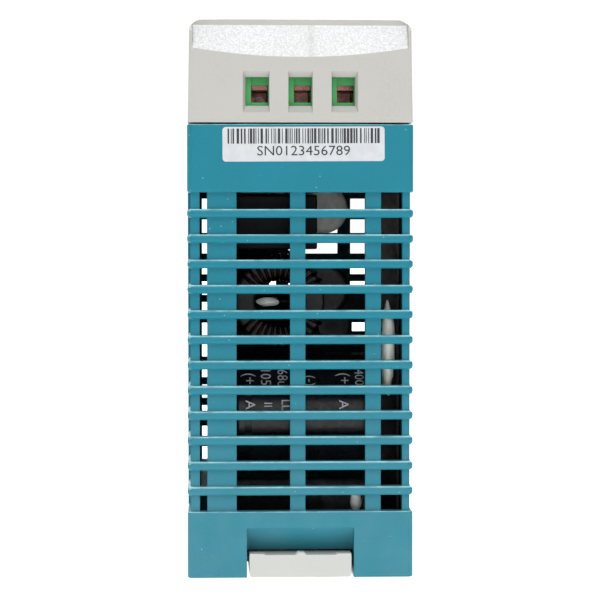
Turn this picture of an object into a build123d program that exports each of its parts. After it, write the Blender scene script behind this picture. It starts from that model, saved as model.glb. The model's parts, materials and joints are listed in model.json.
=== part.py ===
from build123d import *
import math
import os

# A slim power supply for a 35 mm DIN rail, standing on its rear (rail) side. Millimetres.
# X = width. Y = height when mounted: -Y is the AC input end, +Y the DC output end. Z = depth, rear to front.

# ---------------------------------------------------------------- case
WIDTH = 40.0
HEIGHT = 89.8
DEPTH = 100.0
HALF_X = WIDTH / 2
HALF_Y = HEIGHT / 2
RIB_RISE_X = 0.55
RIB_RISE_Y = 0.9
VALLEY_X = HALF_X - RIB_RISE_X
VALLEY_Y = HALF_Y - RIB_RISE_Y
SEAM_Z = 80.45
SEAM_GAP = 0.3
HOUSING_TOP = SEAM_Z - SEAM_GAP / 2
COVER_BASE = SEAM_Z + SEAM_GAP / 2
SIDE_PANEL_Y = 32.0
BAND_CORNER = 0.9
BAND_EDGE = 0.3

# ---------------------------------------------------------------- grille
GRILLE_Z = (11.75, 68.3)
RIB_COUNT = 12
RIB_HEIGHT = 1.56
RIB_PITCH = 4.471
RIB_EDGE = 0.6
TOP_RIB_Z = 63.8
COLUMNS = ((-17.8, -16.5), (-11.3, -1.8), (0.9, 11.55), (14.3, 18.1))

# ---------------------------------------------------------------- inside of the housing
CAVITY_X = (-17.8, 18.1)
CAVITY_Y = 42.4
FLOOR_Z = 7.2
NOTCH_ROOF_Z = 10.6
NOTCH_ROOF_Y = -38.0

# ---------------------------------------------------------------- rail recess and latch
RAIL_HALF = 17.75
RECESS_Z = 5.4
HOOK_REACH = 1.55
HOOK_Z = (1.5, 4.1)
LATCH_HALF = 9.05
LATCH_Z = (0.1, 4.07)
LATCH_REACH = 2.05
CHANNEL_HALF = 9.5
CHANNEL_Z = 4.4
TONGUE_HALF = 9.9
TONGUE_Z = (1.6, 2.6)
TONGUE_Y = (-36.0, -18.0)
GROOVE_GAP = 0.2
NOTCH_TOP_Z = 8.9
NOTCH_DEPTH = 4.5
POST_Y = (-38.0, -36.0)
POST_HALF = 2.8
SPRING_Y = (-35.95, -26.05)
SPRING_R = 1.5
SPRING_WIRE = 0.4
SPRING_Z = 2.1
LATCH_TRAVEL = 4.5

# ---------------------------------------------------------------- front cover
COVER_BASE_HALF = 19.87
COVER_TOP_HALF = 19.57
COVER_CORNER = 2.2
COVER_WALL = 1.8
FACET_FOOT_Z = 93.7
FACET_HEAD = (41.7, 97.95)
FACET_HALF = 19.05
RIM_SHOULDER = (44.9, 96.6)
RIM_TOP_Y = 41.7
END_EDGE_R = 0.4
TERRACE_Z = 98.9
PANEL_HALF = 30.5
PANEL_HALF_X = 16.4
FACET_SAG = 1.6
ENTRY_INNER = (4.15, 5.07)
ENTRY_OUTER_Z = (82.35, 89.6)
ENTRY_Z = 86.1
ENTRY_SIDE_BEVEL = 0.45
FUNNEL_DEPTH = 1.0
SNAP_Y = 20.0
SNAP_HALF = 4.0
SNAP_REACH = 1.0
SNAP_Z = (76.6, 78.9)

# ---------------------------------------------------------------- boards
BOARD_FACE = -13.0
BOARD_BACK = -14.6
BOARD_Z = (12.0, 77.8)
BOARD_HALF_Y = 41.4
TERMINAL_BOARD_Z = (78.9, 80.5)
TERMINAL_BOARD_X = 16.4
TERMINAL_BOARD_Y = 41.6
LEAD_R = 0.4
HOLE_R = 0.5
LEAD_TIP = BOARD_BACK - 1.0

# ---------------------------------------------------------------- rising-cage terminals
POLE_PITCH = 7.62
POLE_SHIFT = 0.45
INPUT_POLES = 3
OUTPUT_POLES = 4
SCREW_Y = 37.2
BLOCK_Y = (31.0, 42.3)
BLOCK_TOP = 94.8
POLE_OPEN_HALF = 1.52
POLE_OPEN_Z = (84.2, 87.3)
CAGE_INNER = 1.6
CAGE_WALL = 0.4
CAGE_HALF_Y = 3.0
CAGE_FLOOR_Z = (83.5, 84.3)
CAGE_RIB_R = 1.0
NUT_Z = (89.3, 91.3)
CAGE_CLEAR = 0.1
CAGE_DROP = 1.9
BAR_HALF = 1.4
BAR_Z = (86.45, 87.25)
SCREW_R = 1.5
NUT_HOLE_R = 1.55
SHOULDER_Z = (92.3, 92.8)
HEAD_R = 2.3
HEAD_Z = (92.85, 94.5)
HEAD_WELL_R = 2.5
ACCESS_R = 2.4

# ---------------------------------------------------------------- indicator and trimmer
LED_AT = (10.0, -20.0)
TRIMMER_AT = (10.0, 20.0)
LED_R = 1.5
PIPE_R = 1.45
PIPE_HOLE_R = 1.5
TRIMMER_HALF = 3.4
TRIMMER_Z = (TERMINAL_BOARD_Z[1], 88.0)
TRIMMER_SHAFT_R = 1.5
TRIMMER_SHAFT_Z = (83.5, 90.0)
TRIMMER_HOLE_R = 2.5

# ---------------------------------------------------------------- labels
SERIAL_LABEL = (28.8, 6.3)
SERIAL_CENTRE = (0.55, 76.8)
LABEL_CORNER = 0.7
LABEL_THICK = 0.1
RATING_LABEL_Y = 29.0
RATING_LABEL_Z = (15.0, 65.0)
RATING_RECESS = 0.25


# ================================================================ helpers
def block(x, y, z):
    """A box between three (low, high) pairs."""
    centre = [(low + high) / 2 for low, high in (x, y, z)]
    size = [high - low for low, high in (x, y, z)]
    return Pos(*centre) * Box(*size)


def rod_x(r, y, z, span):
    """A cylinder along X."""
    return Pos((span[0] + span[1]) / 2, y, z) * Rot(0, 90, 0) * Cylinder(r, span[1] - span[0])


def rod_y(r, x, z, span):
    """A cylinder along Y."""
    return Pos(x, (span[0] + span[1]) / 2, z) * Rot(90, 0, 0) * Cylinder(r, span[1] - span[0])


def rod_z(r, x, y, span):
    """A cylinder along Z."""
    return Pos(x, y, (span[0] + span[1]) / 2) * Cylinder(r, span[1] - span[0])


def profile_yz(points, x):
    """A (y, z) outline extruded between two x values."""
    return extrude(Plane.YZ.offset(x[0]) * make_face(Polyline(*points, close=True)), x[1] - x[0])


def profile_xz(points, y):
    """An (x, z) outline extruded between two y values."""
    return extrude(Plane.XZ.offset(-y[1]) * make_face(Polyline(*points, close=True)), y[1] - y[0])


def rounded_plate(half_x, half_y, z, corner):
    """A plate in the XY plane with rounded vertical edges."""
    return extrude(Pos(0, 0, z[0]) * RectangleRounded(2 * half_x, 2 * half_y, corner), z[1] - z[0])


def ends(part):
    """The part together with its mirror image on the other end of the case."""
    return part + mirror(part, Plane.XZ)


def leads(points, foot):
    """Round component legs along X, from inside the component at x = foot through the main board."""
    return [rod_x(LEAD_R, y, z, (LEAD_TIP, foot)) for y, z in points]


def ring_x(r_out, r_in, y, z, x):
    """A flat ring whose axis is X."""
    return rod_x(r_out, y, z, x) - rod_x(r_in, y, z, (x[0] - 1, x[1] + 1))


def ring_y(r_out, r_in, x, z, y):
    """A flat ring whose axis is Y."""
    return rod_y(r_out, x, z, y) - rod_y(r_in, x, z, (y[0] - 1, y[1] + 1))


def pole_positions(count):
    """Centres of the wire entries across the width, in x."""
    return [(i - (count - 1) / 2) * POLE_PITCH for i in range(count)]


# ================================================================ rear housing
def rib_ring(index):
    """One rounded rib that runs round the whole case."""
    low = TOP_RIB_Z - index * RIB_PITCH
    plate = rounded_plate(HALF_X, HALF_Y, (low, low + RIB_HEIGHT), BAND_CORNER)
    rims = plate.faces().filter_by(Axis.Z).edges()
    return fillet(rims, RIB_EDGE)


def band(z):
    """A plain band round the case, above or below the grille."""
    plate = rounded_plate(HALF_X, HALF_Y, z, BAND_CORNER)
    rims = plate.faces().filter_by(Axis.Z).edges()
    return fillet(rims, BAND_EDGE)


def housing_cavity():
    """The room inside, raised at the input end over the latch notch."""
    room = block(CAVITY_X, (-CAVITY_Y, CAVITY_Y), (FLOOR_Z, DEPTH))
    return room - block(CAVITY_X, (-CAVITY_Y, NOTCH_ROOF_Y), (0, NOTCH_ROOF_Z))


def grille_columns():
    """Tall slots through both end walls; the ribs cross them afterwards."""
    wall = (-HALF_Y - 1, -CAVITY_Y + 0.5)
    slots = [block(x, wall, GRILLE_Z) for x in COLUMNS]
    return ends(Part() + slots)


def rail_recess():
    """The slot for the top-hat rail, with a fixed hook on the output side."""
    slot = block((-HALF_X - 1, HALF_X + 1), (-RAIL_HALF, RAIL_HALF), (-1, RECESS_Z))
    tip = RAIL_HALF - HOOK_REACH
    hook = [(tip, HOOK_Z[1]), (RAIL_HALF, HOOK_Z[1]), (RAIL_HALF, -1), (RAIL_HALF - 0.4, -1), (tip, HOOK_Z[0])]
    return slot - profile_yz(hook, (-HALF_X - 1, HALF_X + 1))


def latch_channel():
    """The sliding way of the latch, its side grooves and the sloping tool notch above its tab."""
    outside = -HALF_Y - 1
    way = block((-CHANNEL_HALF, CHANNEL_HALF), (outside, -RAIL_HALF + 1), (-1, CHANNEL_Z))
    groove_y = (TONGUE_Y[0] - LATCH_TRAVEL - 0.5, -RAIL_HALF + 1)
    groove_x = TONGUE_HALF + GROOVE_GAP
    groove_z = (TONGUE_Z[0] - GROOVE_GAP, TONGUE_Z[1] + GROOVE_GAP)
    groove = block((-groove_x, groove_x), groove_y, groove_z)
    inner = -HALF_Y + NOTCH_DEPTH
    slope = (NOTCH_TOP_Z - CHANNEL_Z) / NOTCH_DEPTH
    notch = [(inner, CHANNEL_Z), (outside, NOTCH_TOP_Z + slope), (outside, CHANNEL_Z)]
    return way + groove + profile_yz(notch, (-CHANNEL_HALF, CHANNEL_HALF))


def board_guides():
    """Pairs of rails on both end walls that hold the main board's edges, hidden behind the wide bar."""
    reach = (-CAVITY_Y - 0.5, -BOARD_HALF_Y + 1.2)
    height = (NOTCH_ROOF_Z - 1, GRILLE_Z[1] + 6)
    back = block((BOARD_BACK - 1.2, BOARD_BACK - 0.15), reach, height)
    front = block((BOARD_FACE + 0.15, BOARD_FACE + 1.2), reach, height)
    return ends(back + front)


def board_ledges():
    """Ledges that carry the terminal board, and the sill under the main board."""
    top = TERMINAL_BOARD_Z[0]
    right = block((TERMINAL_BOARD_X - 0.8, CAVITY_X[1] + 0.5), (-8, 8), (top - 2.0, top))
    left = block((CAVITY_X[0] - 0.5, -TERMINAL_BOARD_X + 0.8), (-8, 8), (top - 2.0, top))
    sill = block((CAVITY_X[0] - 0.5, BOARD_BACK - 0.4), (-24, 24), (FLOOR_Z - 1, BOARD_Z[0] + 1.0))
    foot = block((BOARD_BACK - 0.4, BOARD_FACE + 1.2), (-24, 24), (FLOOR_Z - 1, BOARD_Z[0]))
    return right + left + sill + foot


def snap_windows():
    """Windows in the side walls that catch the cover's snap tongues."""
    cut = Part()
    for y in (-SNAP_Y, SNAP_Y):
        cut += block((-HALF_X - 1, HALF_X + 1), (y - SNAP_HALF - 0.3, y + SNAP_HALF + 0.3), SNAP_Z)
    return cut


def rear_housing():
    core = block((-VALLEY_X, VALLEY_X), (-VALLEY_Y, VALLEY_Y), (1, HOUSING_TOP - 1))
    core += block((-HALF_X, HALF_X), (-SIDE_PANEL_Y, SIDE_PANEL_Y), (1, HOUSING_TOP - 1))
    core += band((0, GRILLE_Z[0]))
    core += band((GRILLE_Z[1], HOUSING_TOP))
    cavity = housing_cavity()
    shell = core - cavity - grille_columns()
    shell += [rib_ring(i) - cavity for i in range(RIB_COUNT)]
    shell = shell + board_guides() + board_ledges()
    shell = shell - rail_recess() - latch_channel() - snap_windows()
    shell += block((-POST_HALF, POST_HALF), POST_Y, (0.8, CHANNEL_Z + 0.5))
    label_z = (RATING_LABEL_Z[0] - 0.5, RATING_LABEL_Z[1] + 0.5)
    label_y = (-RATING_LABEL_Y - 0.5, RATING_LABEL_Y + 0.5)
    return shell - block((HALF_X - RATING_RECESS, HALF_X + 1), label_y, label_z)


# ================================================================ rail latch
def latch_outline():
    """Side view of the latch plate with its wedge nose that snaps under the rail's lip."""
    low, high = LATCH_Z
    root = -RAIL_HALF - 0.1
    nose = -RAIL_HALF + LATCH_REACH
    return [(-HALF_Y, low), (root, low), (nose, high - 0.9), (nose, high), (-HALF_Y, high)]


def din_latch():
    plate = profile_yz(latch_outline(), (-LATCH_HALF, LATCH_HALF))
    corners = plate.edges().filter_by(Axis.Y).group_by(Axis.Z)[0]
    plate = fillet(corners, 0.7)
    for side in (-1, 1):
        edge = sorted((side * (LATCH_HALF - 1), side * TONGUE_HALF))
        plate += block(edge, TONGUE_Y, TONGUE_Z)
        pad = sorted((side * 6.4, side * (LATCH_HALF - 0.05)))
        plate += block(pad, (-HALF_Y, -HALF_Y + 2.2), (LATCH_Z[1] - 1, LATCH_Z[1] + 0.2))
    nub = rod_y(1.2, 0.1, LATCH_Z[1] - 0.75, (-HALF_Y, -HALF_Y + 2.2))
    plate += nub
    slot_x = (-POST_HALF - 0.4, POST_HALF + 0.4)
    plate -= block(slot_x, (POST_Y[0] - 0.4, SPRING_Y[1] + 0.05), (-1, LATCH_Z[1] + 1))
    return plate


def latch_spring():
    """The coil's envelope; it lies along Y between the housing post and the latch."""
    return ring_y(SPRING_R, SPRING_R - SPRING_WIRE, 0, SPRING_Z, SPRING_Y)


# ================================================================ front cover
def cover_tub():
    """The cover's outside without its raised panel, rounded along both sides, with sloping end rims."""
    half = [(HALF_Y, COVER_BASE), RIM_SHOULDER, (RIM_TOP_Y, TERRACE_Z)]
    outline = half + [(-y, z) for y, z in reversed(half)]
    view = cover_front_view(0, 2 * HALF_Y, COVER_TOP_HALF, TERRACE_Z)
    end_edges = [e for e in view.edges() if abs(e.center().Y) > HALF_Y - 0.1 and e.center().Z > COVER_BASE + 1]
    return profile_yz(outline, (-HALF_X, HALF_X)) & fillet(end_edges, END_EDGE_R)


def cover_hollow():
    """The room inside the tub, which keeps the wall's thickness under the facets and the terraces."""
    foot = FACET_FOOT_Z - 1.3 * COVER_WALL
    half = [
        (HALF_Y - COVER_WALL, COVER_BASE),
        (HALF_Y - COVER_WALL, foot),
        (FACET_HEAD[0] - COVER_WALL, FACET_HEAD[1] - COVER_WALL),
        (FACET_HEAD[0] - COVER_WALL, TERRACE_Z - COVER_WALL),
    ]
    outline = half + [(-y, z) for y, z in reversed(half)]
    view = cover_front_view(COVER_WALL, 2 * HALF_Y, COVER_TOP_HALF, TERRACE_Z)
    return profile_yz(outline, (-HALF_X, HALF_X)) & view


def cover_panel(wall):
    """The raised middle of the cover, narrower than the tub."""
    return cover_front_view(wall, 2 * (PANEL_HALF - wall), PANEL_HALF_X, DEPTH)


def cover_front_view(wall, length, top_half, top):
    """The cover's outline seen from its end, with leaning sides and rounded shoulders, extruded along Y."""
    low = top_half + COVER_BASE_HALF - COVER_TOP_HALF - wall
    high = top_half - wall
    ceiling = top - wall
    corners = [(-low, COVER_BASE), (low, COVER_BASE), (high, ceiling), (-high, ceiling)]
    face = make_face(Polyline(*corners, close=True))
    face = fillet(face.vertices().group_by(Axis.Y)[-1], max(COVER_CORNER - wall, 0.5))
    return extrude(Plane.XZ.offset(-length / 2) * face, length)


def facet_section(y, side_z, middle_z):
    """The region above the facet at one distance from the case's centre; its lower edge may sag."""
    left, right = (-FACET_HALF, y, side_z), (FACET_HALF, y, side_z)
    lower = ThreePointArc(left, (0, y, middle_z), right) if middle_z < side_z else Line(left, right)
    upper = Polyline(right, (FACET_HALF, y, DEPTH), (-FACET_HALF, y, DEPTH), left)
    return make_face([lower] + upper.edges())


def facet_cut():
    """What is taken off between an end's side rims: the facet has a straight head and a smile-shaped foot."""
    head_y, head_z = -FACET_HEAD[0], FACET_HEAD[1]
    outside = -HALF_Y - 1
    reach = (head_y - outside) / (head_y + HALF_Y)
    side_z = head_z - reach * (head_z - FACET_FOOT_Z)
    middle_z = head_z - reach * (head_z - FACET_FOOT_Z + FACET_SAG)
    return loft([facet_section(outside, side_z, middle_z), facet_section(head_y, head_z, head_z)], ruled=True)


def wire_entry(x, side_bevels):
    """A funnelled wire entry through the input or output wall, cut from the -Y side."""
    half = ENTRY_INNER[0] / 2
    low, high = ENTRY_Z - ENTRY_INNER[1] / 2, ENTRY_Z + ENTRY_INNER[1] / 2
    through = block((x - half, x + half), (-HALF_Y - 1, -HALF_Y + COVER_WALL + 1), (low, high))
    mouth_y = -HALF_Y
    throat_y = mouth_y + FUNNEL_DEPTH
    wide = block_face(x - half - side_bevels[0], x + half + side_bevels[1], *ENTRY_OUTER_Z, mouth_y)
    narrow = block_face(x - half, x + half, low, high, throat_y)
    return through + loft([wide, narrow])


def block_face(x0, x1, z0, z1, y):
    """A rectangle standing in the XZ plane at height y."""
    centre = Pos((x0 + x1) / 2, y, (z0 + z1) / 2)
    return centre * (Plane.XZ * Rectangle(x1 - x0, z1 - z0))


def wire_entries(count):
    """A row of entries; the outermost sides of the row have a side bevel as well."""
    entries = []
    for i, x in enumerate(pole_positions(count)):
        bevels = (ENTRY_SIDE_BEVEL if i == 0 else 0.05, ENTRY_SIDE_BEVEL if i == count - 1 else 0.05)
        entries.append(wire_entry(x, bevels))
    return entries


def access_holes():
    """Screwdriver holes over the terminal screws, through the terraces."""
    span = (FACET_HEAD[1] - COVER_WALL - 1, DEPTH)
    holes = [rod_z(ACCESS_R, x + POLE_SHIFT, -SCREW_Y, span) for x in pole_positions(INPUT_POLES)]
    holes += [rod_z(ACCESS_R, x + POLE_SHIFT, SCREW_Y, span) for x in pole_positions(OUTPUT_POLES)]
    return holes


def snap_tongues():
    """Tongues that reach down inside the housing walls, each with a barb for its window."""
    parts = []
    for side, wall in ((-1, CAVITY_X[0]), (1, CAVITY_X[1])):
        for y in (-SNAP_Y, SNAP_Y):
            outer = wall - side * 0.15
            stem = sorted((outer, outer - side * 1.1))
            parts.append(block(stem, (y - SNAP_HALF, y + SNAP_HALF), (SNAP_Z[0] - 0.4, COVER_BASE + 0.6)))
            reach = outer + side * SNAP_REACH
            barb = [(outer, SNAP_Z[0]), (reach, SNAP_Z[1] - 0.8), (reach, SNAP_Z[1] - 0.2), (outer, SNAP_Z[1] - 0.2)]
            parts.append(profile_xz(barb, (y - SNAP_HALF, y + SNAP_HALF)))
            root = sorted((outer - side * 1.1, side * (COVER_BASE_HALF - 0.5)))
            parts.append(block(root, (y - SNAP_HALF, y + SNAP_HALF), (COVER_BASE, COVER_BASE + 1.5)))
    return parts


def front_cover():
    tub = cover_tub() - ends(facet_cut())
    cover = tub + cover_panel(0) - cover_hollow() - cover_panel(COVER_WALL)
    cover -= wire_entries(INPUT_POLES)
    cover -= [mirror(entry, Plane.XZ) for entry in wire_entries(OUTPUT_POLES)]
    cover -= access_holes()
    cover -= rod_z(PIPE_HOLE_R, *LED_AT, (DEPTH - COVER_WALL - 1, DEPTH + 1))
    cover -= rod_z(TRIMMER_HOLE_R, *TRIMMER_AT, (DEPTH - COVER_WALL - 1, DEPTH + 1))
    return cover + snap_tongues()


# ================================================================ labels
def serial_label():
    """A small printed sticker on the input end's upper band."""
    x, z = SERIAL_CENTRE
    face = Plane.XZ.offset(HALF_Y) * Pos(x, z) * RectangleRounded(*SERIAL_LABEL, LABEL_CORNER)
    return extrude(face, LABEL_THICK)


def rating_label():
    """The large rating sticker, set in a shallow recess of the right side."""
    width = 2 * RATING_LABEL_Y
    height = RATING_LABEL_Z[1] - RATING_LABEL_Z[0]
    middle = (RATING_LABEL_Z[0] + RATING_LABEL_Z[1]) / 2
    face = Plane.YZ.offset(HALF_X - RATING_RECESS) * Pos(0, middle) * RectangleRounded(width, height, 1.0)
    return extrude(face, LABEL_THICK)


# ================================================================ terminals
def terminal_body(count):
    """Moulded terminal block at the input end: one cage pocket, wire opening and screw well for each pole."""
    near, far = -BLOCK_Y[1], -BLOCK_Y[0]
    base = TERMINAL_BOARD_Z[1]
    poles = [x + POLE_SHIFT for x in pole_positions(count)]
    span = (poles[0] - POLE_PITCH / 2 + 0.1, poles[-1] + POLE_PITCH / 2 - 0.1)
    side = [(near, base), (far, base), (far, BLOCK_TOP), (near + 2.7, BLOCK_TOP), (near, BLOCK_TOP - 3.3)]
    body = profile_yz(side, span)
    for x in poles:
        body -= pole_cut(x, near)
    return body


def pole_cut(x, near):
    """Everything that is open in one pole of a terminal block."""
    inside = CAGE_INNER + CAGE_WALL + CAGE_CLEAR
    cage_y = (-SCREW_Y - CAGE_HALF_Y - 0.4, -SCREW_Y + CAGE_HALF_Y + 0.4)
    pocket = block((x - inside, x + inside), cage_y, (CAGE_FLOOR_Z[0] - CAGE_DROP - 0.3, SHOULDER_Z[0]))
    mouth_x = (x - POLE_OPEN_HALF, x + POLE_OPEN_HALF)
    mouth = block(mouth_x, (near - 1, near + 0.9), (POLE_OPEN_Z[0], POLE_OPEN_Z[1] + 2.0))
    throat = block(mouth_x, (near - 1, cage_y[0] + 1), POLE_OPEN_Z)
    bar_x = (x - BAR_HALF - 0.05, x + BAR_HALF + 0.05)
    bar_slot = block(bar_x, (cage_y[1] - 1, -BLOCK_Y[0] - 0.7), (TERMINAL_BOARD_Z[0] - 3, BAR_Z[1] + 0.05))
    neck = rod_z(SCREW_R + 0.2, x, -SCREW_Y, (SHOULDER_Z[0] - 1, SHOULDER_Z[1] + 1))
    well = rod_z(HEAD_WELL_R, x, -SCREW_Y, (SHOULDER_Z[1], BLOCK_TOP + 1))
    return pocket + mouth + throat + bar_slot + neck + well


def contact_bar(x):
    """A fixed current bar that the cage pulls the wire against, with its leg through the board."""
    back = -BLOCK_Y[0] - 0.75
    bar = block((x - BAR_HALF, x + BAR_HALF), (-BLOCK_Y[1] + 1.0, back), BAR_Z)
    leg = block((x - BAR_HALF, x + BAR_HALF), (back - 0.8, back), (TERMINAL_BOARD_Z[1], BAR_Z[1]))
    pin = block((x - 0.5, x + 0.5), (back - 0.8, back), (TERMINAL_BOARD_Z[0] - 1.2, TERMINAL_BOARD_Z[1] + 1))
    return bar + leg + pin


def contact_bars(count):
    return Part() + [contact_bar(x + POLE_SHIFT) for x in pole_positions(count)]


def cage(x):
    """A clamp cage: ribbed floor, two side walls and a threaded top."""
    outer = CAGE_INNER + CAGE_WALL
    along = (-SCREW_Y - CAGE_HALF_Y, -SCREW_Y + CAGE_HALF_Y)
    frame = block((x - outer, x + outer), along, (CAGE_FLOOR_Z[0], NUT_Z[1]))
    frame -= block((x - CAGE_INNER, x + CAGE_INNER), (along[0] - 1, along[1] + 1), (CAGE_FLOOR_Z[1], NUT_Z[0]))
    rib = rod_y(CAGE_RIB_R, x, CAGE_FLOOR_Z[1], along)
    frame += rib & block((x - 1.2, x + 1.2), along, (CAGE_FLOOR_Z[0] + 0.2, NUT_Z[0]))
    return frame - rod_z(NUT_HOLE_R, x, -SCREW_Y, (NUT_Z[0] - 1, NUT_Z[1] + 1))


def clamp_screw(x):
    """An M3 clamp screw with a cheese head and a driver slot; its tip turns against the fixed bar."""
    shank = rod_z(SCREW_R, x, -SCREW_Y, (BAR_Z[1] + 0.1, HEAD_Z[0] + 0.5))
    head = rod_z(HEAD_R, x, -SCREW_Y, HEAD_Z)
    rim = head.faces().sort_by(Axis.Z)[-1].edges()
    head = fillet(rim, 0.3)
    slot = block((x - HEAD_R, x + HEAD_R), (-SCREW_Y - 0.4, -SCREW_Y + 0.4), (HEAD_Z[1] - 0.8, HEAD_Z[1] + 1))
    return shank + head - slot


# ================================================================ boards, indicator and trimmer
COMPONENT_LEADS = {
    "bulk_capacitor": [(-30.8, 23.2), (-30.8, 33.2)],
    "film_capacitor": [(-35.5, 59.5), (-35.5, 66.5)],
    "inrush_thermistor": [(-27.2, 62.6), (-27.2, 68.4)],
    "varistor": [(-24.9, 46.4), (-24.9, 48.4)],
    "fuse": [(-22.4, 50.5), (-22.4, 55.5)],
    "choke": [(-33.5, 42.0), (-33.5, 55.0), (-28.5, 42.0), (-28.5, 55.0)],
    "bridge_rectifier": [(-16.8, 53.9), (-16.8, 57.5), (-16.8, 61.1), (-16.8, 64.7)],
    "switching_transistor": [(-17.2, 41.3), (-17.2, 43.8), (-17.2, 46.3)],
    "transformer": [(y, z) for y in (-6.0, 12.0) for z in (26.0, 31.0, 36.0, 41.0)],
    "output_rectifier": [(22.0, 40.5), (22.0, 43.0), (22.0, 45.5)],
    "output_capacitors": [(35.2, z + d) for z in (17.0, 27.0, 37.0) for d in (-1.75, 1.75)],
    "output_inductor": [(27.5, 48.5), (35.0, 62.5)],
    "y_capacitors": [(13.5, 51.0), (13.5, 54.6), (13.5, 59.0), (13.5, 62.6)],
    "optocouplers": [(y, z) for y in (0.2, 7.8) for z in (52.9, 55.4, 60.9, 63.4)],
    "aux_capacitor": [(-9.0, 57.0), (-9.0, 59.0)],
}
HEADER_PINS = 8
HEADER_PITCH = 2.54
HEADER_X = -11.5


def header_positions():
    return [(i - (HEADER_PINS - 1) / 2) * HEADER_PITCH for i in range(HEADER_PINS)]


def main_board():
    board = block((BOARD_BACK, BOARD_FACE), (-BOARD_HALF_Y, BOARD_HALF_Y), BOARD_Z)
    span = (BOARD_BACK - 1, BOARD_FACE + 1)
    holes = [rod_x(HOLE_R, y, z, span) for points in COMPONENT_LEADS.values() for y, z in points]
    holes += [rod_x(HOLE_R, y, 76.5, span) for y in header_positions()]
    return board - holes


def terminal_board():
    board = rounded_plate(TERMINAL_BOARD_X, TERMINAL_BOARD_Y, TERMINAL_BOARD_Z, 1.0)
    back = BLOCK_Y[0] + 0.75
    span = (TERMINAL_BOARD_Z[0] - 1, TERMINAL_BOARD_Z[1] + 1)
    cuts = [rod_z(HOLE_R, HEADER_X, y, span) for y in header_positions()]
    for side, count in ((-1, INPUT_POLES), (1, OUTPUT_POLES)):
        for x in pole_positions(count):
            centre = x + POLE_SHIFT
            slot_y = sorted((side * (back - 0.1), side * (back + 0.9)))
            cuts.append(block((centre - 0.6, centre + 0.6), slot_y, span))
    return board - cuts


def board_header():
    """A right-angle pin strip that joins the main board to the terminal board."""
    half = HEADER_PINS * HEADER_PITCH / 2
    strip = block((BOARD_FACE, HEADER_X + 1.25), (-half, half), (75.2, TERMINAL_BOARD_Z[0]))
    for y in header_positions():
        strip += rod_z(0.35, HEADER_X, y, (76.0, TERMINAL_BOARD_Z[1] + 1.0))
        strip += rod_x(0.35, y, 76.5, (LEAD_TIP, HEADER_X))
    return strip


def status_led():
    x, y = LED_AT
    base = TERMINAL_BOARD_Z[1]
    stem = rod_z(LED_R, x, y, (base, base + 3.4))
    flange = rod_z(LED_R + 0.4, x, y, (base, base + 0.9))
    return stem + flange + Pos(x, y, base + 3.4) * Sphere(LED_R)


def led_light_pipe():
    x, y = LED_AT
    inside = DEPTH - COVER_WALL
    pipe = rod_z(PIPE_R, x, y, (TERMINAL_BOARD_Z[1] + 5.1, DEPTH - 0.1))
    return pipe + rod_z(PIPE_R + 0.8, x, y, (inside - 1.1, inside - 0.05))


def trimmer_body():
    x, y = TRIMMER_AT
    wide = (x - TRIMMER_HALF, x + TRIMMER_HALF)
    case = block(wide, (y - TRIMMER_HALF, y + TRIMMER_HALF), TRIMMER_Z)
    case = fillet(case.edges().filter_by(Axis.Z), 0.5)
    return case - rod_z(TRIMMER_SHAFT_R + 0.05, x, y, (TRIMMER_SHAFT_Z[0] - 0.1, TRIMMER_Z[1] + 1))


def trimmer_shaft():
    x, y = TRIMMER_AT
    shaft = rod_z(TRIMMER_SHAFT_R, x, y, TRIMMER_SHAFT_Z)
    top = TRIMMER_SHAFT_Z[1]
    return shaft - block((x - 2, x + 2), (y - 0.3, y + 0.3), (top - 0.8, top + 1))


# ================================================================ input stage
def bulk_capacitor():
    """The mains reservoir capacitor, lying across the case on its legs, with a rolled groove near its seal."""
    (y, z) = (-30.8, 28.2)
    can = rod_x(11.0, y, z, (BOARD_FACE + 1.4, 14.2))
    can = fillet(can.edges().filter_by(GeomType.CIRCLE), 0.8)
    can -= ring_x(11.6, 10.4, y, z, (BOARD_FACE + 3.2, BOARD_FACE + 4.4))
    return can + leads(COMPONENT_LEADS["bulk_capacitor"], BOARD_FACE + 2)


def film_capacitor():
    case = block((BOARD_FACE + 0.2, 3.2), (-39.8, -30.0), (58.2, 67.9))
    return fillet(case.edges(), 0.4) + leads(COMPONENT_LEADS["film_capacitor"], BOARD_FACE + 1)


def disc_part(name, x, z, y, r):
    """A coated disc facing the grille, carried on two long legs."""
    disc = rod_y(r, x, z, y)
    disc = fillet(disc.edges().filter_by(GeomType.CIRCLE), 0.35 * (y[1] - y[0]))
    return disc + leads(COMPONENT_LEADS[name], x - 0.5 * r)


def fuse():
    can = rod_x(3.7, -22.4, 53.0, (BOARD_FACE + 0.3, -5.0))
    can = fillet(can.edges().filter_by(GeomType.CIRCLE), 0.5)
    return can + leads(COMPONENT_LEADS["fuse"], BOARD_FACE + 1)


CHOKE_AT = (-3.4, 48.6)
CHOKE_Y = (-34.5, -27.5)
CHOKE_R = (4.4, 8.2)
WINDING_SKIN = 0.8
CORE_SLACK = 0.05


def choke_core():
    ring = ring_y(CHOKE_R[1], CHOKE_R[0], *CHOKE_AT, CHOKE_Y)
    return fillet(ring.edges().filter_by(GeomType.CIRCLE), 0.6)


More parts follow.
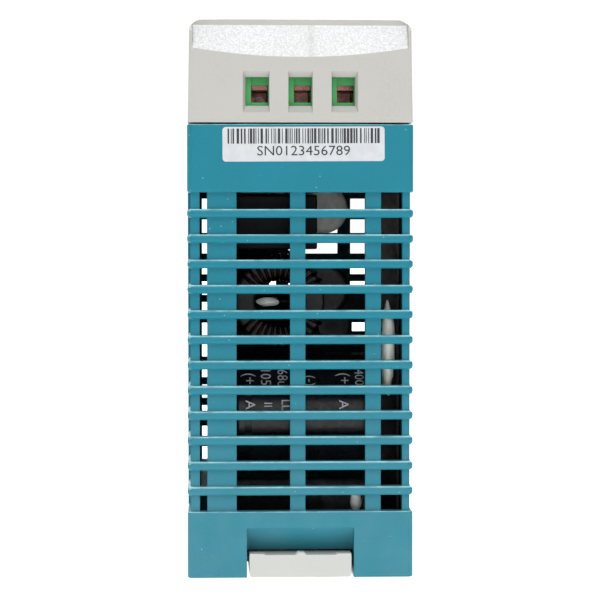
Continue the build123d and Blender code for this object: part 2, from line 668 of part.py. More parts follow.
def choke_windings():
    x, z = CHOKE_AT
    skin_y = (CHOKE_Y[0] - WINDING_SKIN, CHOKE_Y[1] + WINDING_SKIN)
    around = ring_y(CHOKE_R[1] + WINDING_SKIN, CHOKE_R[0] - WINDING_SKIN, x, z, skin_y)
    core_y = (CHOKE_Y[0] - CORE_SLACK, CHOKE_Y[1] + CORE_SLACK)
    core = ring_y(CHOKE_R[1] + CORE_SLACK, CHOKE_R[0] - CORE_SLACK, x, z, core_y)
    gap = block((x - 20, x + 20), (skin_y[0] - 1, skin_y[1] + 1), (z - 1.6, z + 1.6))
    halves = around - core - gap
    return halves + [rod_x(LEAD_R, y, zz, (LEAD_TIP, x - 6.0)) for y, zz in COMPONENT_LEADS["choke"]]


def bridge_rectifier():
    body = block((-9.0, 2.0), (-18.5, -15.1), (52.0, 66.6))
    body -= rod_y(1.6, -0.8, 59.3, (-20, -14))
    return body + leads(COMPONENT_LEADS["bridge_rectifier"], -8.5)


# ================================================================ converter
def power_package(y, z, leads_at, tab_side):
    """A flat three-leg power package lying against a heatsink, tab outermost."""
    body = block((-5.0, 4.0), y, (z - 5.0, z + 5.0))
    tab_y = (y[0], y[0] + 1.3) if tab_side < 0 else (y[1] - 1.3, y[1])
    tab = block((3.5, 10.0), tab_y, (z - 5.0, z + 5.0))
    tab -= rod_y(1.8, 7.0, z, (tab_y[0] - 1, tab_y[1] + 1))
    return body + tab + leads(leads_at, -4.5)


def switching_transistor():
    return power_package((-19.9, -15.5), 43.8, COMPONENT_LEADS["switching_transistor"], -1)


def output_rectifier():
    return power_package((19.3, 23.7), 43.0, COMPONENT_LEADS["output_rectifier"], -1)


SINK_EDGE_X = 13.4
SINK_STEP_X = -3.0
SINK_NOTCH_X = 10.6
SINK_NOTCH_Z = (42.6, 46.6)


def heatsink(y, z, screw_z, foot_y, foot_z):
    """An L-shaped aluminium heatsink with a foot along the board."""
    plate = block((BOARD_FACE + 0.1, 11.0), y, z)
    foot = block((BOARD_FACE + 0.1, BOARD_FACE + 1.6), foot_y, foot_z)
    return plate + foot - rod_y(1.6, 7.0, screw_z, (y[0] - 1, y[1] + 1))


def primary_heatsink():
    """Its free edge steps round the output of the fuse and has a notch for the clip's tool."""
    y = (-21.5, -19.95)
    sink = heatsink(y, (38.6, 49.0), 43.8, (-26.2, -20.5), (38.6, 45.2))
    sink += block((10.9, SINK_EDGE_X), y, (38.6, 49.0)) + block((SINK_STEP_X, SINK_EDGE_X), y, (48.9, 51.0))
    return sink - block((SINK_NOTCH_X, SINK_EDGE_X + 1), (y[0] - 1, y[1] + 1), SINK_NOTCH_Z)


def secondary_heatsink():
    return heatsink((17.7, 19.25), (12.5, 49.0), 43.0, (19.0, 21.0), (12.5, 49.0))


def heatsink_screws():
    """Pan-head screws that clamp the two power packages to their heatsinks."""
    first = rod_y(1.5, 7.0, 43.8, (-22, -15.8)) + rod_y(2.8, 7.0, 43.8, (-23.3, -21.55))
    second = rod_y(1.5, 7.0, 43.0, (17, 23.6)) + rod_y(2.8, 7.0, 43.0, (15.9, 17.65))
    return Part() + [first, second]


TRANSFORMER_Y = 3.0
TRANSFORMER_Z = 33.5
CORE_HALF = (3.5, 12.0)
CORE_X = (-9.8, 10.2)
YOKE = 2.8
CENTRE_LEG_R = 3.4
WINDING_R = 8.6


def transformer_core():
    y_span = (TRANSFORMER_Y - CORE_HALF[0], TRANSFORMER_Y + CORE_HALF[0])
    outer = block(CORE_X, y_span, (TRANSFORMER_Z - CORE_HALF[1], TRANSFORMER_Z + CORE_HALF[1]))
    window_x = (CORE_X[0] + YOKE, CORE_X[1] - YOKE)
    reach = CORE_HALF[1] - YOKE
    window = block(window_x, (y_span[0] - 1, y_span[1] + 1), (TRANSFORMER_Z - reach, TRANSFORMER_Z + reach))
    leg = rod_x(CENTRE_LEG_R, TRANSFORMER_Y, TRANSFORMER_Z, (CORE_X[0] + 1, CORE_X[1] - 1))
    return outer - window + leg


def transformer_bobbin():
    x0, x1 = CORE_X[0] + YOKE + 0.1, CORE_X[1] - YOKE - 0.1
    tube = ring_x(4.0, CENTRE_LEG_R + 0.1, TRANSFORMER_Y, TRANSFORMER_Z, (x0, x1))
    for x in ((x0, x0 + 0.6), (x1 - 0.6, x1)):
        tube += ring_x(WINDING_R + 0.4, CENTRE_LEG_R + 0.1, TRANSFORMER_Y, TRANSFORMER_Z, x)
    base_y = (TRANSFORMER_Y - 10.5, TRANSFORMER_Y + 10.5)
    base_z = (TRANSFORMER_Z - 9.5, TRANSFORMER_Z + 9.5)
    base = block((BOARD_FACE + 0.3, CORE_X[0] - 0.1), base_y, base_z)
    for side in (-1, 1):
        post_y = sorted((TRANSFORMER_Y + side * 3.7, TRANSFORMER_Y + side * 5.7))
        base += block((CORE_X[0] - 0.2, x0 + 0.2), post_y, (TRANSFORMER_Z - 4, TRANSFORMER_Z + 4))
    return tube + base + leads(COMPONENT_LEADS["transformer"], BOARD_FACE + 1)


def transformer_winding():
    x0, x1 = CORE_X[0] + YOKE + 0.8, CORE_X[1] - YOKE - 0.8
    return ring_x(WINDING_R, 4.05, TRANSFORMER_Y, TRANSFORMER_Z, (x0, x1))


def y_capacitors():
    first = disc_part("y_capacitors", -7.4, 52.8, (12.0, 15.0), 3.6)
    second = rod_y(3.6, -7.4, 60.8, (12.0, 15.0))
    second = fillet(second.edges().filter_by(GeomType.CIRCLE), 1.05)
    return Part() + [first, second + leads(COMPONENT_LEADS["y_capacitors"][2:], -9.2)]


def optocouplers():
    """Two four-pin optocouplers with bent legs along their sides."""
    parts = []
    for z in (54.15, 62.15):
        body = block((BOARD_FACE + 0.5, -9.0), (0.8, 7.2), (z - 2.3, z + 2.3))
        body = fillet(body.edges().filter_by(Axis.Z), 0.3)
        for y in (0.2, 7.8):
            for dz in (-1.25, 1.25):
                body += block((LEAD_TIP, -11.0), (y - 0.15, y + 0.15), (z + dz - 0.3, z + dz + 0.3))
                bend = sorted((y, 4.0 + math.copysign(3.0, y - 4.0)))
                body += block((-11.3, -11.0), bend, (z + dz - 0.3, z + dz + 0.3))
        parts.append(body)
    return Part() + parts


def aux_capacitor():
    can = rod_x(2.5, -9.0, 58.0, (BOARD_FACE + 0.2, -2.0))
    can = fillet(can.edges().filter_by(GeomType.CIRCLE), 0.4)
    return can + leads(COMPONENT_LEADS["aux_capacitor"], BOARD_FACE + 1)


def control_ic():
    """The controller on the solder side: a small-outline package with eight legs."""
    body = block((BOARD_BACK - 1.5, BOARD_BACK - 0.1), (-14.0, -10.1), (40.0, 44.9))
    for i in range(4):
        z = 40.5 + 1.27 * i
        for y in ((-15.1, -13.9), (-10.2, -9.0)):
            body += block((BOARD_BACK - 0.3, BOARD_BACK), y, (z - 0.2, z + 0.2))
    return body


def surface_mount_parts():
    """Chip resistors and capacitors in two columns on the solder side."""
    chips = []
    for i in range(9):
        for y in (-18.5, 17.0):
            z = 24.0 + 4.6 * i
            chips.append(block((BOARD_BACK - 0.6, BOARD_BACK), (y - 1.0, y + 1.0), (z - 0.62, z + 0.62)))
    return Part() + chips


# ================================================================ output stage
def output_capacitors():
    cans = []
    for i, z in enumerate((17.0, 27.0, 37.0)):
        can = rod_x(4.6, 35.2, z, (BOARD_FACE + 0.2, 4.0))
        can = fillet(can.edges().filter_by(GeomType.CIRCLE), 0.5)
        cans.append(can + leads(COMPONENT_LEADS["output_capacitors"][2 * i : 2 * i + 2], BOARD_FACE + 1))
    return Part() + cans


INDUCTOR_AT = (31.0, 55.5)
INDUCTOR_X = (-11.4, -5.6)
INDUCTOR_R = (3.8, 7.2)


def output_inductor_core():
    ring = ring_x(INDUCTOR_R[1], INDUCTOR_R[0], *INDUCTOR_AT, INDUCTOR_X)
    return fillet(ring.edges().filter_by(GeomType.CIRCLE), 0.6)


def output_inductor_winding():
    y, z = INDUCTOR_AT
    skin_x = (INDUCTOR_X[0] - WINDING_SKIN, INDUCTOR_X[1] + WINDING_SKIN)
    around = ring_x(INDUCTOR_R[1] + WINDING_SKIN, INDUCTOR_R[0] - WINDING_SKIN, y, z, skin_x)
    core_x = (INDUCTOR_X[0] - CORE_SLACK, INDUCTOR_X[1] + CORE_SLACK)
    core = ring_x(INDUCTOR_R[1] + CORE_SLACK, INDUCTOR_R[0] - CORE_SLACK, y, z, core_x)
    gap = block((skin_x[0] - 1, skin_x[1] + 1), (y + 1, y + 20), (z - 1.2, z + 1.2))
    return around - core - gap + leads(COMPONENT_LEADS["output_inductor"], INDUCTOR_X[0] - 0.4)


# ================================================================ insulation and adhesive
def insulation_sheet():
    """A folded fibre sheet along the right wall and the floor."""
    wall = block((17.35, 17.75), (-41.4, 41.4), (FLOOR_Z + 0.2, 74.0))
    wall -= block((17, 18), (-42, NOTCH_ROOF_Y + 0.5), (0, NOTCH_ROOF_Z + 0.3))
    floor = block((-11.0, 17.75), (NOTCH_ROOF_Y + 0.5, 41.4), (FLOOR_Z + 0.2, FLOOR_Z + 0.6))
    return wall + floor


# Centre and half sizes of each bead: on the choke, down the insulation's edge, and at the capacitor's foot.
BEADS = (
    ((-5.6, -37.6, 48.7), (2.4, 2.2, 0.9)),
    ((15.8, -40.2, 40.6), (1.5, 1.9, 9.6)),
    ((10.2, -38.9, 13.0), (1.2, 1.5, 2.3)),
)


def staking_adhesive():
    """Beads of white silicone that steady the choke, the insulation sheet and the large capacitor."""
    return Part() + [Pos(*centre) * scale(Sphere(1), by=size) for centre, size in BEADS]


# ================================================================ the assembly
def moving_terminals():
    """One cage and one screw for every pole, at both ends."""
    nodes = {}
    for i, x in enumerate(pole_positions(INPUT_POLES), start=1):
        nodes[f"input_cage_{i}"] = cage(x + POLE_SHIFT)
        nodes[f"input_screw_{i}"] = clamp_screw(x + POLE_SHIFT)
    for i, x in enumerate(pole_positions(OUTPUT_POLES), start=1):
        nodes[f"output_cage_{i}"] = mirror(cage(x + POLE_SHIFT), Plane.XZ)
        nodes[f"output_screw_{i}"] = mirror(clamp_screw(x + POLE_SHIFT), Plane.XZ)
    return nodes


def assembly():
    nodes = {
        "rear_housing": rear_housing(),
        "front_cover": front_cover(),
        "serial_label": serial_label(),
        "rating_label": rating_label(),
        "din_latch": din_latch(),
        "latch_spring": latch_spring(),
        "main_board": main_board(),
        "terminal_board": terminal_board(),
        "board_header": board_header(),
        "input_terminal_body": terminal_body(INPUT_POLES),
        "output_terminal_body": mirror(terminal_body(OUTPUT_POLES), Plane.XZ),
        "input_contact_bars": contact_bars(INPUT_POLES),
        "output_contact_bars": mirror(contact_bars(OUTPUT_POLES), Plane.XZ),
        "status_led": status_led(),
        "led_light_pipe": led_light_pipe(),
        "trimmer_body": trimmer_body(),
        "trimmer_shaft": trimmer_shaft(),
        "bulk_capacitor": bulk_capacitor(),
        "film_capacitor": film_capacitor(),
        "inrush_thermistor": disc_part("inrush_thermistor", 4.9, 65.5, (-29.2, -25.2), 4.5),
        "varistor": disc_part("varistor", 4.8, 50.5, (-26.4, -23.5), 5.0),
        "fuse": fuse(),
        "choke_core": choke_core(),
        "choke_windings": choke_windings(),
        "bridge_rectifier": bridge_rectifier(),
        "primary_heatsink": primary_heatsink(),
        "switching_transistor": switching_transistor(),
        "transformer_core": transformer_core(),
        "transformer_bobbin": transformer_bobbin(),
        "transformer_winding": transformer_winding(),
        "control_ic": control_ic(),
        "optocouplers": optocouplers(),
        "y_capacitors": y_capacitors(),
        "aux_capacitor": aux_capacitor(),
        "surface_mount_parts": surface_mount_parts(),
        "output_rectifier": output_rectifier(),
        "secondary_heatsink": secondary_heatsink(),
        "heatsink_screws": heatsink_screws(),
        "output_capacitors": output_capacitors(),
        "output_inductor_core": output_inductor_core(),
        "output_inductor_winding": output_inductor_winding(),
        "insulation_sheet": insulation_sheet(),
        "staking_adhesive": staking_adhesive(),
    }
    nodes.update(moving_terminals())
    return nodes


os.makedirs("parts", exist_ok=True)
for name, shape in assembly().items():
    export_step(shape, f"parts/{name}.step")
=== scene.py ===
import json
import math
import random

import bmesh
import bpy
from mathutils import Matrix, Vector, noise


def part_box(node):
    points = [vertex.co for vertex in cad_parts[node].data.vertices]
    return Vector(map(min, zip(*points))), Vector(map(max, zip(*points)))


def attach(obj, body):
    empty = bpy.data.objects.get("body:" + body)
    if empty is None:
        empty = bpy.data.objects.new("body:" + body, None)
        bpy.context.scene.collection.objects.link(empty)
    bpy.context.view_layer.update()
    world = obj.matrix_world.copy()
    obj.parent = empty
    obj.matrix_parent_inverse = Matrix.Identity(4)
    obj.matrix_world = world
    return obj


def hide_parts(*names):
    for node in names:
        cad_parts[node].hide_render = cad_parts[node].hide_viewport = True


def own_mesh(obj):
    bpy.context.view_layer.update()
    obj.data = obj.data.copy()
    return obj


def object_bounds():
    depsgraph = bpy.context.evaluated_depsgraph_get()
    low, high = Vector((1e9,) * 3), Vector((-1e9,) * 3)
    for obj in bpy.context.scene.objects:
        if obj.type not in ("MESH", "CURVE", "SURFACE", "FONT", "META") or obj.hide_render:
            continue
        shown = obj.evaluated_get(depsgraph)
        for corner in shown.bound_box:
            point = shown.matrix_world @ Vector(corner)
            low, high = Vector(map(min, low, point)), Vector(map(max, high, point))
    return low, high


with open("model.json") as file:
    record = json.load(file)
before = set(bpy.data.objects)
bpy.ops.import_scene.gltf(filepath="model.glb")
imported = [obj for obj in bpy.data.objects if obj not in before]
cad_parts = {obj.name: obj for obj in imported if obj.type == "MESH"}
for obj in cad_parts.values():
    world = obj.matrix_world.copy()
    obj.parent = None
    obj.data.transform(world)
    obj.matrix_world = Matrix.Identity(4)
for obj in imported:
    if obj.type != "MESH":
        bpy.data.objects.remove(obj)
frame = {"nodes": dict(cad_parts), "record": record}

CAD_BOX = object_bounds()
MM = 0.001
NODES = frame["nodes"]
TERRACE_Z = 98.9 * MM  # the cover's level strips with the screw holes

# Painted light on the cover's facet stays above FACET_LIGHT_FROM_Z and within FACET_LIGHT_TO_X of the
# middle; REFLECTION_GAP_X is its duller line, a painted gap between two reflections.
FACET_LIGHT_FROM_Z = 91.0 * MM
FACET_LIGHT_TO_X = 18.98 * MM
REFLECTION_GAP_X = 1.9 * MM

# Painted light from the floor's bounce thins out from the rear of the housing up to BOUNCE_LIGHT_TOP_Z.
BOUNCE_LIGHT_TOP_Z = 46.0 * MM
BOUNCE_LIGHT_FOOT_Z = 4.0 * MM

WAVE_PERIOD = 0.314159  # the length of one band of a wave texture at scale 1
MIX_A, MIX_B, MIX_RESULT = 6, 7, 2  # the colour sockets of a Mix node


def middle(node):
    low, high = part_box(node)
    return (low + high) / 2


# ================================================================ colours
def srgb(r, g, b):
    """An 8-bit display colour as linear RGBA."""
    shares = [c / 255 for c in (r, g, b)]
    return tuple(c / 12.92 if c <= 0.04 else ((c + 0.055) / 1.055) ** 2.4 for c in shares) + (1.0,)


def scaled(colour, k):
    return tuple(min(c * k, 1.0) for c in colour[:3]) + (1.0,)


# the tint of the dust specks and of the painted bounce light
DUST_AND_BOUNCE_TINT = srgb(186, 208, 210)


# ================================================================ procedural surfaces
class Surface:
    """One node-based material around a Principled shader, built up in steps."""

    def __init__(self, name, roughness=0.5, metallic=0.0):
        self.material = bpy.data.materials.new(name)
        self.material.use_nodes = True
        self.tree = self.material.node_tree
        self.shader = self.tree.nodes["Principled BSDF"]
        self.where = self.add("ShaderNodeTexCoord").outputs["Object"]
        self.normal = None
        self.set("Metallic", metallic)
        self.set("Roughness", roughness)

    def add(self, kind):
        return self.tree.nodes.new(kind)

    def link(self, source, target):
        self.tree.links.new(source, target)

    def set(self, socket, value):
        self.shader.inputs[socket].default_value = value
        return self

    def stretched(self, stretch):
        """Object coordinates scaled along each axis."""
        node = self.add("ShaderNodeMapping")
        node.inputs["Scale"].default_value = stretch
        self.link(self.where, node.inputs["Vector"])
        return node.outputs["Vector"]

    def noise(self, size, detail=3.0, stretch=None):
        """Soft noise whose features are size millimetres across."""
        node = self.add("ShaderNodeTexNoise")
        node.inputs["Scale"].default_value = 1 / (size * MM)
        node.inputs["Detail"].default_value = detail
        self.link(self.stretched(stretch) if stretch else self.where, node.inputs["Vector"])
        return node.outputs["Fac"]

    def cells(self, size):
        """Cellular pattern, for pits and grains."""
        node = self.add("ShaderNodeTexVoronoi")
        node.inputs["Scale"].default_value = 1 / (size * MM)
        self.link(self.where, node.inputs["Vector"])
        return node.outputs["Distance"]

    def bands(self, pitch, axis="Z", distortion=0.0):
        """Regular bands with the given pitch in millimetres."""
        node = self.add("ShaderNodeTexWave")
        node.bands_direction = axis
        node.inputs["Scale"].default_value = WAVE_PERIOD / (pitch * MM)
        node.inputs["Distortion"].default_value = distortion
        self.link(self.where, node.inputs["Vector"])
        return node.outputs["Fac"]

    def component(self, vector, axis):
        """One component of a vector."""
        node = self.add("ShaderNodeSeparateXYZ")
        self.link(vector, node.inputs["Vector"])
        return node.outputs[axis]

    def along(self, axis):
        """One coordinate of the surface point, in metres."""
        return self.component(self.where, axis)

    def spread(self, value, low, high, to_low=0.0, to_high=1.0):
        """Maps low..high to to_low..to_high, clamped."""
        node = self.add("ShaderNodeMapRange")
        numbers = {"From Min": low, "From Max": high, "To Min": to_low, "To Max": to_high}
        for socket, number in numbers.items():
            node.inputs[socket].default_value = number
        self.link(value, node.inputs["Value"])
        return node.outputs["Result"]

    def maths(self, operation, a, b):
        node = self.add("ShaderNodeMath")
        node.operation = operation
        for socket, value in zip(node.inputs, (a, b)):
            if isinstance(value, (int, float)):
                socket.default_value = value
            else:
                self.link(value, socket)
        return node.outputs["Value"]

    def times(self, a, b):
        return self.maths("MULTIPLY", a, b)

    def window(self, value, rise, fall):
        """Rises from 0 to 1 over the rise pair and falls back to 0 over the fall pair."""
        return self.times(self.spread(value, *rise), self.spread(value, *fall, 1.0, 0.0))

    def mix(self, factor, a, b):
        """Colour a where factor is 0 and b where it is 1; either may be a socket."""
        node = self.add("ShaderNodeMix")
        node.data_type = "RGBA"
        self.link(factor, node.inputs["Factor"])
        for socket, value in ((node.inputs[MIX_A], a), (node.inputs[MIX_B], b)):
            if isinstance(value, tuple):
                socket.default_value = value
            else:
                self.link(value, socket)
        return node.outputs[MIX_RESULT]

    def edges(self, radius):
        """1 along sharp edges and 0 on open faces; rounds the shading of the edges as well."""
        bevel = self.add("ShaderNodeBevel")
        bevel.samples = 6
        bevel.inputs["Radius"].default_value = radius * MM
        geometry = self.add("ShaderNodeNewGeometry")
        dot = self.add("ShaderNodeVectorMath")
        dot.operation = "DOT_PRODUCT"
        self.link(bevel.outputs["Normal"], dot.inputs[0])
        self.link(geometry.outputs["True Normal"], dot.inputs[1])
        self.normal = bevel.outputs["Normal"]
        return self.spread(dot.outputs["Value"], 1.0, 0.85)

    def upper_edges(self, radius):
        """1 where a rounded edge turns up towards the front, between an upright face and a level one: the
        mask of the painted highlight.
        """
        bevel = self.add("ShaderNodeBevel")
        bevel.samples = 8
        bevel.inputs["Radius"].default_value = radius * MM
        upward = self.component(bevel.outputs["Normal"], "Z")
        return self.window(upward, (0.55, 0.78), (0.93, 0.99))

    def leaning(self):
        """1 on faces that lean back at about 35 degrees and 0 on upright and level ones."""
        geometry = self.add("ShaderNodeNewGeometry")
        upward = self.component(geometry.outputs["Normal"], "Z")
        return self.window(upward, (0.3, 0.5), (0.75, 0.9))

    def bump(self, height, depth, strength=1.0):
        """Raises the surface by height times depth millimetres."""
        node = self.add("ShaderNodeBump")
        node.inputs["Strength"].default_value = strength
        node.inputs["Distance"].default_value = depth * MM
        self.link(height, node.inputs["Height"])
        if self.normal is not None:
            self.link(self.normal, node.inputs["Normal"])
        self.normal = node.outputs["Normal"]
        return self

    def paint(self, colour):
        self.link(colour, self.shader.inputs["Base Color"])
        return self

    def gloss(self, roughness):
        self.link(roughness, self.shader.inputs["Roughness"])
        return self

    def done(self):
        if self.normal is not None:
            self.link(self.normal, self.shader.inputs["Normal"])
        return self.material


def painted_facet_light(s):
    """Pale painted light over the cover's facet, finely speckled, duller along a painted gap between
    reflections and cut off at its borders.
    """
    facet_light = s.spread(s.noise(0.34, 3.0), 0.38, 0.62, 0.5, 0.95)
    from_reflection_gap = s.maths("ABSOLUTE", s.maths("SUBTRACT", s.along("X"), REFLECTION_GAP_X), 0)
    facet_light = s.times(facet_light, s.spread(from_reflection_gap, 0.3 * MM, 1.1 * MM, 0.72, 1.0))
    facet_light = s.times(facet_light, s.spread(s.along("Z"), FACET_LIGHT_FROM_Z, FACET_LIGHT_FROM_Z + 0.2 * MM))
    aside = s.maths("ABSOLUTE", s.along("X"), 0)
    return s.times(facet_light, s.spread(aside, FACET_LIGHT_TO_X, FACET_LIGHT_TO_X + 0.06 * MM, 1.0, 0.0))


def dust_and_bounce_light(s, strength):
    """Pale dust specks everywhere, and a patchy painted light from the floor's bounce that grows towards
    the rear.
    """
    motes = s.times(s.spread(s.cells(1.9), 0.07, 0.03), strength)
    painted_bounce_light = s.times(s.spread(s.along("Z"), BOUNCE_LIGHT_TOP_Z, BOUNCE_LIGHT_FOOT_Z), 0.13 * strength)
    painted_bounce_light = s.times(painted_bounce_light, s.spread(s.noise(5.0, 4.0), 0.3, 0.7, 0.7, 1.3))
    return s.maths("MAXIMUM", motes, painted_bounce_light)


def moulded(name, colour, roughness, grain=0.16, depth=0.012, mottle=0.05, edge=0.14, edge_light=1.12,
            sheen=0.5, facet_light_colour=None, painted_highlight=None, dust_and_bounce=0.0):
    """Injection-moulded plastic: fine spark-eroded grain, faint flow mottling and smoother edges, painted
    lighter as wear and as a painted highlight.

    facet_light_colour: the pale colour painted as light on the faces that lean back at the front, speckled,
    with a faint painted reflection gap.
    painted_highlight: the colour of a painted highlight along the upper edges, broken up in places.
    dust_and_bounce: the strength of pale dust specks and of the painted bounce light towards the rear.
    """
    s = Surface(name, roughness)
    s.set("Specular IOR Level", sheen)
    edge_wear_and_highlight = s.edges(edge)
    tone = s.mix(s.spread(s.noise(9.0), 0.35, 0.65), scaled(colour, 1 - mottle), scaled(colour, 1 + mottle))
    specks = s.spread(s.noise(grain * 2.2, 2.0), 0.42, 0.6)
    tone = s.mix(specks, tone, scaled(colour, 1 + 0.6 * mottle))
    # painted light: the faces that lean back at the front are painted pale, as if lit from above
    if facet_light_colour:
        tone = s.mix(s.times(s.leaning(), painted_facet_light(s)), tone, facet_light_colour)
    # pale dust specks, and painted bounce light that lightens the housing towards the rear
    if dust_and_bounce:
        tone = s.mix(dust_and_bounce_light(s, dust_and_bounce), tone, DUST_AND_BOUNCE_TINT)
    # the edges are painted lighter, partly as wear and partly as a painted highlight
    tone = s.mix(edge_wear_and_highlight, tone, scaled(colour, edge_light))
    # painted highlight: a pale line painted along the upper edges, as if lit from above
    if painted_highlight:
        highlight_breaks = s.spread(s.noise(2.4, 4.0), 0.3, 0.62, 0.4, 1.0)
        line = s.times(s.upper_edges(1.5 * edge), highlight_breaks)
        if facet_light_colour:
            line = s.times(line, s.maths("SUBTRACT", 1.0, s.leaning()))
        tone = s.mix(line, tone, painted_highlight)
    s.paint(tone)
    s.gloss(s.spread(s.noise(grain * 3.0), 0.3, 0.7, roughness - 0.06, roughness + 0.08))
    s.bump(s.noise(grain, 2.0), depth)
    s.bump(s.cells(grain * 1.7), depth * 0.5)
    return s.done()


def metal(name, colour, roughness, streak=(1, 1, 12), size=0.6, stain=0.25):
    """Drawn, stamped or plated metal with fine directional scratches and dull patches."""
    s = Surface(name, roughness, 1.0)
    fine = s.noise(size, 4.0, streak)
    dull = s.spread(s.noise(2.2, 3.0), 0.4, 0.68)
    s.paint(s.mix(dull, colour, scaled(colour, 1 - stain)))
    brushed = s.spread(fine, 0.3, 0.7, roughness - 0.08, roughness + 0.1)
    s.gloss(s.maths("ADD", brushed, s.times(dull, 0.12)))
    s.bump(fine, 0.006)
    return s.done()


def dipped(name, colour, roughness=0.35):
    """The lumpy dipped coating of a disc component."""
    s = Surface(name, roughness)
    s.paint(s.mix(s.spread(s.noise(1.4), 0.35, 0.65), scaled(colour, 0.9), scaled(colour, 1.12)))
    s.gloss(s.spread(s.noise(0.5), 0.3, 0.7, roughness - 0.08, roughness + 0.12))
    s.bump(s.noise(1.1, 3.0), 0.09)
    return s.done()


def film_sleeve():
    """The black shrink sleeve of an electrolytic capacitor, with faint wrinkles along it."""
    s = Surface("sleeve", 0.3)
    s.paint(s.mix(s.spread(s.noise(2.5), 0.35, 0.7), srgb(9, 10, 12), srgb(18, 19, 22)))
    s.gloss(s.spread(s.noise(0.9, 3.0), 0.3, 0.7, 0.24, 0.42))
    s.bump(s.noise(1.6, 2.0, (0.35, 1, 1)), 0.04)
    s.set("Specular IOR Level", 0.35)
    return s.done()


def laminate():
    """Solder-masked circuit board: raised, paler cells that stand for tracks, and a faint weave."""
    s = Surface("circuit_board", 0.35)
    tracks = s.spread(s.cells(3.2), 0.42, 0.46)
    weave = s.times(s.bands(0.5, "Y"), s.bands(0.5, "Z"))
    mask = s.mix(tracks, srgb(18, 62, 34), srgb(34, 92, 48))
    s.paint(s.mix(s.times(weave, 0.25), mask, srgb(60, 110, 62)))
    s.gloss(s.spread(s.noise(0.8), 0.3, 0.7, 0.28, 0.48))
    s.bump(tracks, 0.035)
    return s.done()


def sintered():
    """Ground ferrite: dark grey, dense, with tiny pits."""
    s = Surface("ferrite", 0.42)
    s.paint(s.mix(s.spread(s.noise(0.7), 0.35, 0.65), srgb(20, 20, 22), srgb(31, 31, 34)))
    s.gloss(s.spread(s.noise(1.5), 0.3, 0.7, 0.34, 0.55))
    s.bump(s.spread(s.cells(0.35), 0.0, 0.18), 0.02)
    return s.done()


def wound_tape():
    """Yellow polyester tape: glossy layers with fine edges."""
    s = Surface("winding_tape", 0.25)
    layers = s.spread(s.bands(2.1, "X", 0.6), 0.44, 0.56)
    s.paint(s.mix(layers, srgb(205, 158, 38), srgb(226, 184, 62)))
    s.gloss(s.spread(s.noise(1.2), 0.3, 0.7, 0.2, 0.36))
    s.bump(layers, 0.04)
    s.bump(s.noise(1.8), 0.05)
    return s.done()


def enamelled():
    """Enamelled copper wire, painted near-black as the shade inside the housing."""
    s = Surface("enamelled_wire", 0.24, 0.9)
    s.paint(s.mix(s.spread(s.noise(1.3), 0.35, 0.65), srgb(24, 13, 10), srgb(48, 27, 19)))
    s.gloss(s.spread(s.noise(0.5), 0.3, 0.7, 0.16, 0.34))
    s.bump(s.noise(0.4), 0.01)
    return s.done()


def fibre():
    """Dark fish-paper: matt, with a pressed fibre texture and pale scuffs running front to back."""
    s = Surface("fibre_sheet", 0.75)
    s.set("Specular IOR Level", 0.2)
    threads = s.noise(0.9, 4.0, (1, 0.12, 1))
    scuffs = s.spread(s.noise(4.5, 4.0, (1, 0.05, 0.25)), 0.5, 0.72)
    base = s.mix(s.spread(threads, 0.35, 0.65), srgb(20, 18, 17), srgb(42, 37, 33))
    s.paint(s.mix(scuffs, base, srgb(82, 74, 66)))
    s.gloss(s.spread(threads, 0.3, 0.7, 0.66, 0.86))
    s.bump(threads, 0.03)
    return s.done()


def sticker():
    """Coated white label paper."""
    s = Surface("label_paper", 0.42)
    s.paint(s.mix(s.spread(s.noise(1.6), 0.35, 0.65), srgb(185, 188, 191), srgb(193, 196, 199)))
    s.gloss(s.spread(s.noise(0.4), 0.3, 0.7, 0.36, 0.5))
    s.bump(s.noise(0.22, 3.0), 0.006)
    return s.done()


def ink(name, colour):
    """Printed ink with a little patchiness."""
    s = Surface(name, 0.5)
    s.paint(s.mix(s.spread(s.noise(0.3), 0.4, 0.7), colour, scaled(colour, 1.35)))
    s.gloss(s.spread(s.noise(0.25), 0.3, 0.7, 0.42, 0.6))
    s.bump(s.noise(0.1), 0.002)
    return s.done()


def clear(name, tint, weight):
    """Clear or tinted moulded optics with faint flow lines."""
    s = Surface(name, 0.12)
    s.paint(s.mix(s.spread(s.noise(0.8), 0.35, 0.65), scaled(tint, 0.94), tint))
    s.gloss(s.spread(s.noise(0.7), 0.3, 0.7, 0.06, 0.2))
    s.set("Transmission Weight", weight)
    s.set("IOR", 1.49)
    s.bump(s.noise(1.5), 0.02)
    return s.done()


def silicone():
    """White staking silicone: soft, slightly translucent, with smears."""
    s = Surface("silicone", 0.38)
    s.paint(s.mix(s.spread(s.noise(0.9), 0.35, 0.65), srgb(244, 240, 228), srgb(254, 251, 242)))
    s.gloss(s.spread(s.noise(0.6), 0.3, 0.7, 0.28, 0.5))
    s.set("Subsurface Weight", 0.2)
    s.set("Subsurface Radius", (0.001, 0.0008, 0.0006))
    s.bump(s.noise(0.7, 4.0), 0.08)
    return s.done()


TEAL = srgb(13, 114, 132)
BEIGE = srgb(172, 171, 166)
# the painted highlight along the housing's upper edges
PAINTED_EDGE_HIGHLIGHT = srgb(172, 228, 236)

